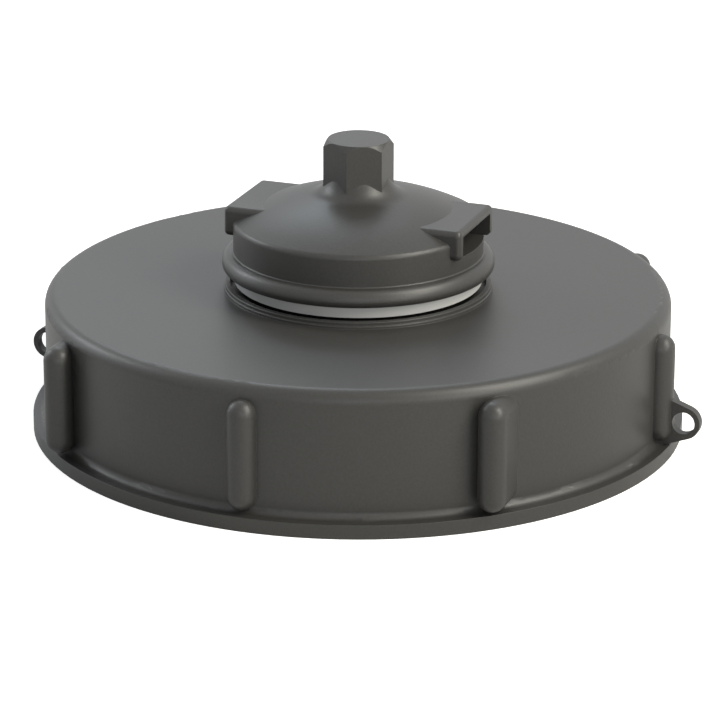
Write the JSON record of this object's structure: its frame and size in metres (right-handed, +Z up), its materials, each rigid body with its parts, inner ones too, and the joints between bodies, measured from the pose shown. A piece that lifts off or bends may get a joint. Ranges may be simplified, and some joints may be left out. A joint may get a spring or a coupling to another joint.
{
  "type": "vented tank lid",
  "caption": "Round ribbed screw lid for a wide tank neck, with sealing-wire eyes and a vented screw plug with hooded vents and a hexagon in its middle.",
  "frame": {"origin": "centre of the lid at the underside of its flange", "axes": "+Z up along the lid's axis, towards the plug's hexagon; +X through one sealing-wire eye and, with the plug closed, through one vent hood; -Y is the front"},
  "size_m": [0.1988, 0.1828, 0.0816],
  "materials": {
    "dark_plastic": "fine satin texture",
    "plug_plastic": "fine satin texture",
    "pale_seal": "smooth",
    "grey_seal": "smooth",
    "dark_rubber": "smooth",
    "valve_plastic": "satin",
    "poppet_plastic": "satin",
    "spring_steel": "drawn wire",
    "filter_felt": "fine white membrane"
  },
  "bodies": {
    "lid": {"lid_body": "dark_plastic", "neck_gasket": "grey_seal"},
    "seal": {"plug_seal": "pale_seal"},
    "plug": {"plug_body": "plug_plastic", "valve_gasket": "dark_rubber", "valve_body": "valve_plastic", "valve_cage": "valve_plastic", "valve_spring": "spring_steel", "vacuum_valve": "dark_rubber", "filter_disc": "filter_felt", "splash_baffle": "valve_plastic", "snap_ring": "valve_plastic"},
    "valve": {"poppet": "poppet_plastic", "poppet_seal": "dark_rubber"}
  },
  "joints": [
    {"name": "plug_lift", "type": "slide", "parent": "lid", "child": "seal", "axis": [0, 0, 1], "range_m": [0, 0.0115]},
    {"name": "plug_turn", "type": "hinge", "parent": "seal", "child": "plug", "pos_m": [0, 0, 0.06], "axis": [0, 0, 1], "range_deg": [0, 1793]},
    {"name": "valve_lift", "type": "slide", "parent": "plug", "child": "valve", "axis": [0, 0, 1], "range_m": [0, 0.0025], "stiffness_N_per_m": 600, "springref_m": -0.001, "deforming": ["valve_spring"]}
  ],
  "couplings": [
    {"joint": "plug_turn", "follows": "plug_lift", "rad_per_m": 2721.2}
  ]
}
